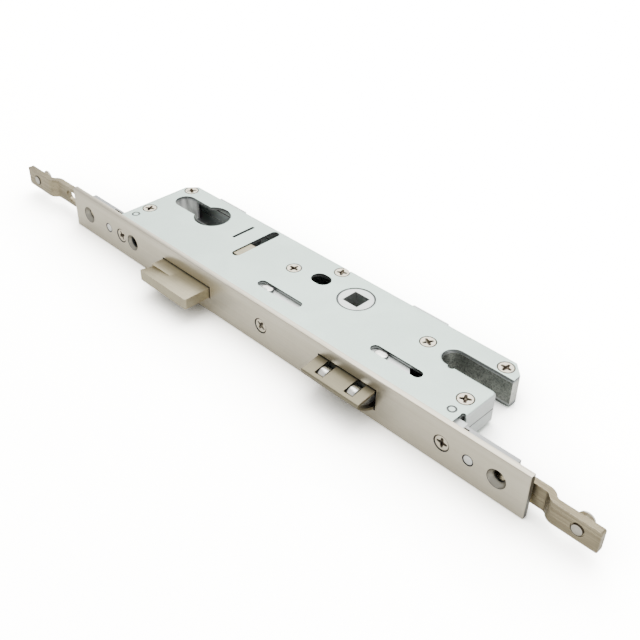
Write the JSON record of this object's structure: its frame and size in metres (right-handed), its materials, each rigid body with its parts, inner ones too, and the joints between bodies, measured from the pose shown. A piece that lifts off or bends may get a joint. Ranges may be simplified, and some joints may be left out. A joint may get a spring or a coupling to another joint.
{
  "type": "multipoint door lock",
  "caption": "Mortice centre lock for a multipoint door: faceplate, slim case, deadbolt, roller latch and drive rods.",
  "frame": {"origin": "on the spindle's axis, half-way through the thickness of the case", "axes": "+X along the faceplate from the cylinder end towards the spindle end, +Y from the faceplate into the door, +Z along the spindle out of the screwed cover"},
  "size_m": [0.3336, 0.0628, 0.02],
  "materials": {
    "zinc_plated_steel": "satin",
    "stainless_steel": "satin",
    "nickel_plated_steel": "satin",
    "rod_steel": "satin",
    "die_cast_zinc": "matt",
    "screw_steel": "polished",
    "spring_steel": "satin",
    "bright_steel": "polished"
  },
  "bodies": {
    "case": {"case_cover": "zinc_plated_steel", "case_base": "zinc_plated_steel", "faceplate": "stainless_steel", "cover_screws": "screw_steel", "cover_posts": "zinc_plated_steel", "faceplate_screws": "screw_steel", "left_fixing_lug": "die_cast_zinc", "middle_fixing_lug": "die_cast_zinc", "right_fixing_lug": "die_cast_zinc", "left_rod_guide": "zinc_plated_steel", "right_rod_guide": "zinc_plated_steel", "guide_rivets": "nickel_plated_steel", "arm_block": "die_cast_zinc", "cylinder_saddle": "die_cast_zinc", "lever_pivots": "bright_steel", "leaf_spring": "spring_steel", "latch_bracket": "zinc_plated_steel", "latch_spring": "spring_steel"},
    "follower": {"follower": "die_cast_zinc", "drive_pin": "bright_steel"},
    "drive_slide": {"drive_slide": "zinc_plated_steel", "slide_guide_pins": "bright_steel", "left_rod": "rod_steel", "left_rod_stud": "bright_steel", "right_rod": "rod_steel", "right_rod_stud": "bright_steel"},
    "deadbolt": {"deadbolt": "nickel_plated_steel"},
    "deadbolt_lever": {"deadbolt_lever": "zinc_plated_steel", "deadbolt_lever_pin": "bright_steel"},
    "latch": {"latch_shell": "nickel_plated_steel", "latch_carrier": "die_cast_zinc", "latch_axle": "bright_steel", "stem_pin": "bright_steel"},
    "latch_lever": {"latch_lever": "zinc_plated_steel"},
    "left_latch_roller": {"left_latch_roller": "bright_steel"},
    "right_latch_roller": {"right_latch_roller": "bright_steel"}
  },
  "joints": [
    {"name": "follower_turn", "type": "hinge", "parent": "case", "child": "follower", "pos_m": [0, 0, 0], "axis": [0, 0, 1], "range_deg": [0, 52.78]},
    {"name": "drive_slide_travel", "type": "slide", "parent": "case", "child": "drive_slide", "axis": [1, 0, 0], "range_m": [0, 0.016]},
    {"name": "deadbolt_travel", "type": "slide", "parent": "case", "child": "deadbolt", "axis": [0, 1, 0], "range_m": [0, 0.013]},
    {"name": "deadbolt_lever_turn", "type": "hinge", "parent": "case", "child": "deadbolt_lever", "pos_m": [-0.076, -0.0109, 0], "axis": [0, 0, 1], "range_deg": [0, 55.33]},
    {"name": "latch_travel", "type": "slide", "parent": "case", "child": "latch", "axis": [0, 1, 0], "range_m": [0, 0.0095], "stiffness_N_per_m": 300, "springref_m": -0.004, "deforming": ["latch_spring"]},
    {"name": "latch_lever_turn", "type": "hinge", "parent": "case", "child": "latch_lever", "pos_m": [0.01375, 0.00075, 0], "axis": [0, 0, 1], "range_deg": [0, 37.48]},
    {"name": "left_roller_spin", "type": "hinge", "parent": "latch", "child": "left_latch_roller", "pos_m": [0.0206, -0.0386, 0.0001], "axis": [1, 0, 0], "continuous": true},
    {"name": "right_roller_spin", "type": "hinge", "parent": "latch", "child": "right_latch_roller", "pos_m": [0.0356, -0.0386, 0.0001], "axis": [1, 0, 0], "continuous": true}
  ],
  "couplings": [
    {"joint": "follower_turn", "follows": "drive_slide_travel", "rad_per_m": 57.569},
    {"joint": "deadbolt_lever_turn", "follows": "deadbolt_travel", "rad_per_m": 74.281},
    {"joint": "latch_lever_turn", "follows": "latch_travel", "rad_per_m": 68.863}
  ]
}
